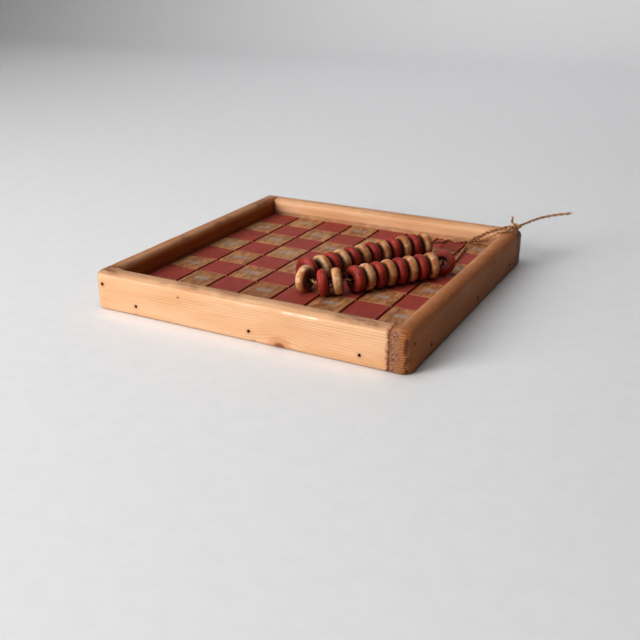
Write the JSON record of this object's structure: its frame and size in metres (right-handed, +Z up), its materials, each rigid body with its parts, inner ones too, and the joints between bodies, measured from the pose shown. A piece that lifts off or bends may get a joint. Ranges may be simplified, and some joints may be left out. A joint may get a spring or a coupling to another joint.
{
  "type": "checkers board",
  "caption": "Square wooden checkers board with a raised nailed rail and its ring checkers threaded on a length of jute twine.",
  "frame": {"origin": "centre of the tray's underside, on the plane it rests on", "axes": "+X along the front rail to the right, +Y to the back rail, +Z up"},
  "size_m": [0.3634, 0.3718, 0.0543],
  "materials": {
    "board_paint": "satin oxide-red paint on alternate squares, varnished bare pine on the others",
    "rail_pine": "satin honey-coloured varnished pine, worn along its edges",
    "nail_iron": "dull dark oxidised wire nail, sunk below the surface",
    "jute": "coarse two-ply twisted jute with loose fibres",
    "natural_checker_wood": "smooth satin turned wood",
    "red_checker_paint": "satin red stain over turned wood"
  },
  "bodies": {
    "tray": {"playing_board": "board_paint", "front_rail": "rail_pine", "right_rail": "rail_pine", "back_rail": "rail_pine", "left_rail": "rail_pine", "board_nails_set": "nail_iron", "corner_nails_set": "nail_iron"},
    "strung_bundle": {"twine": "jute"},
    "natural_checker_1": {"natural_checker_1": "natural_checker_wood"},
    "red_checker_1": {"red_checker_1": "red_checker_paint"},
    "natural_checker_2": {"natural_checker_2": "natural_checker_wood"},
    "red_checker_2": {"red_checker_2": "red_checker_paint"},
    "natural_checker_3": {"natural_checker_3": "natural_checker_wood"},
    "red_checker_3": {"red_checker_3": "red_checker_paint"},
    "natural_checker_4": {"natural_checker_4": "natural_checker_wood"},
    "red_checker_4": {"red_checker_4": "red_checker_paint"},
    "natural_checker_5": {"natural_checker_5": "natural_checker_wood"},
    "red_checker_5": {"red_checker_5": "red_checker_paint"},
    "natural_checker_6": {"natural_checker_6": "natural_checker_wood"},
    "red_checker_6": {"red_checker_6": "red_checker_paint"},
    "natural_checker_7": {"natural_checker_7": "natural_checker_wood"},
    "red_checker_7": {"red_checker_7": "red_checker_paint"},
    "natural_checker_8": {"natural_checker_8": "natural_checker_wood"},
    "red_checker_8": {"red_checker_8": "red_checker_paint"},
    "natural_checker_9": {"natural_checker_9": "natural_checker_wood"},
    "red_checker_9": {"red_checker_9": "red_checker_paint"},
    "natural_checker_10": {"natural_checker_10": "natural_checker_wood"},
    "red_checker_10": {"red_checker_10": "red_checker_paint"},
    "natural_checker_11": {"natural_checker_11": "natural_checker_wood"},
    "red_checker_11": {"red_checker_11": "red_checker_paint"},
    "natural_checker_12": {"natural_checker_12": "natural_checker_wood"},
    "red_checker_12": {"red_checker_12": "red_checker_paint"}
  },
  "joints": [
    {"name": "bundle_lift", "type": "slide", "parent": "tray", "child": "strung_bundle", "axis": [0, 0, 1], "range_m": [0, 0.06]},
    {"name": "natural_checker_1_spin", "type": "hinge", "parent": "strung_bundle", "child": "natural_checker_1", "pos_m": [0.08019, 0.07408, 0.03217], "axis": [-0.5989, -0.8008, 0], "continuous": true},
    {"name": "red_checker_1_spin", "type": "hinge", "parent": "strung_bundle", "child": "red_checker_1", "pos_m": [0.07249, 0.06345, 0.03217], "axis": [-0.5741, -0.8188, 0], "continuous": true},
    {"name": "natural_checker_2_spin", "type": "hinge", "parent": "strung_bundle", "child": "natural_checker_2", "pos_m": [0.06512, 0.05258, 0.03217], "axis": [-0.5487, -0.836, 0], "continuous": true},
    {"name": "red_checker_2_spin", "type": "hinge", "parent": "strung_bundle", "child": "red_checker_2", "pos_m": [0.05809, 0.04149, 0.03217], "axis": [-0.5227, -0.8525, 0], "continuous": true},
    {"name": "natural_checker_3_spin", "type": "hinge", "parent": "strung_bundle", "child": "natural_checker_3", "pos_m": [0.0514, 0.0302, 0.03217], "axis": [-0.4963, -0.8681, 0], "continuous": true},
    {"name": "red_checker_3_spin", "type": "hinge", "parent": "strung_bundle", "child": "red_checker_3", "pos_m": [0.04506, 0.0187, 0.03217], "axis": [-0.4694, -0.883, 0], "continuous": true},
    {"name": "natural_checker_4_spin", "type": "hinge", "parent": "strung_bundle", "child": "natural_checker_4", "pos_m": [0.03907, 0.00702, 0.03217], "axis": [-0.4421, -0.897, 0], "continuous": true},
    {"name": "red_checker_4_spin", "type": "hinge", "parent": "strung_bundle", "child": "red_checker_4", "pos_m": [0.03345, -0.00485, 0.03217], "axis": [-0.4143, -0.9101, 0], "continuous": true},
    {"name": "natural_checker_5_spin", "type": "hinge", "parent": "strung_bundle", "child": "natural_checker_5", "pos_m": [0.02819, -0.01688, 0.03217], "axis": [-0.3862, -0.9224, 0], "continuous": true},
    {"name": "red_checker_5_spin", "type": "hinge", "parent": "strung_bundle", "child": "red_checker_5", "pos_m": [0.02331, -0.02907, 0.03217], "axis": [-0.3577, -0.9338, 0], "continuous": true},
    {"name": "natural_checker_6_spin", "type": "hinge", "parent": "strung_bundle", "child": "natural_checker_6", "pos_m": [0.0188, -0.0414, 0.03217], "axis": [-0.3289, -0.9444, 0], "continuous": true},
    {"name": "red_checker_6_slide", "type": "slide", "parent": "strung_bundle", "child": "red_checker_6", "axis": [-0.2079, -0.9781, 0], "range_m": [-0.003, 0.0003]},
    {"name": "natural_checker_7_slide", "type": "slide", "parent": "strung_bundle", "child": "natural_checker_7", "axis": [0.9976, -0.0698, 0], "range_m": [-0.0003, 0.005]},
    {"name": "red_checker_7_slide", "type": "slide", "parent": "strung_bundle", "child": "red_checker_7", "axis": [0.9063, 0.4226, 0], "range_m": [-0.002, 0.001]},
    {"name": "natural_checker_8_slide", "type": "slide", "parent": "strung_bundle", "child": "natural_checker_8", "axis": [0.8572, 0.515, 0], "range_m": [-0.001, 0.003]},
    {"name": "red_checker_8_spin", "type": "hinge", "parent": "strung_bundle", "child": "red_checker_8", "pos_m": [0.062, -0.0542, 0.03217], "axis": [0.5225, 0.8526, 0], "continuous": true},
    {"name": "natural_checker_9_spin", "type": "hinge", "parent": "strung_bundle", "child": "natural_checker_9", "pos_m": [0.06837, -0.04403, 0.03217], "axis": [0.5385, 0.8426, 0], "continuous": true},
    {"name": "red_checker_9_spin", "type": "hinge", "parent": "strung_bundle", "child": "red_checker_9", "pos_m": [0.07492, -0.03398, 0.03217], "axis": [0.5543, 0.8323, 0], "continuous": true},
    {"name": "natural_checker_10_spin", "type": "hinge", "parent": "strung_bundle", "child": "natural_checker_10", "pos_m": [0.08167, -0.02405, 0.03217], "axis": [0.5699, 0.8217, 0], "continuous": true},
    {"name": "red_checker_10_spin", "type": "hinge", "parent": "strung_bundle", "child": "red_checker_10", "pos_m": [0.0886, -0.01426, 0.03217], "axis": [0.5852, 0.8109, 0], "continuous": true},
    {"name": "natural_checker_11_spin", "type": "hinge", "parent": "strung_bundle", "child": "natural_checker_11", "pos_m": [0.09571, -0.00459, 0.03217], "axis": [0.6004, 0.7997, 0], "continuous": true},
    {"name": "red_checker_11_spin", "type": "hinge", "parent": "strung_bundle", "child": "red_checker_11", "pos_m": [0.10301, 0.00493, 0.03217], "axis": [0.6154, 0.7882, 0], "continuous": true},
    {"name": "natural_checker_12_spin", "type": "hinge", "parent": "strung_bundle", "child": "natural_checker_12", "pos_m": [0.11048, 0.01432, 0.03217], "axis": [0.6301, 0.7765, 0], "continuous": true},
    {"name": "red_checker_12_spin", "type": "hinge", "parent": "strung_bundle", "child": "red_checker_12", "pos_m": [0.1163, 0.0326, 0.03053], "axis": [-0.1983, 0.7399, -0.6428], "continuous": true}
  ]
}
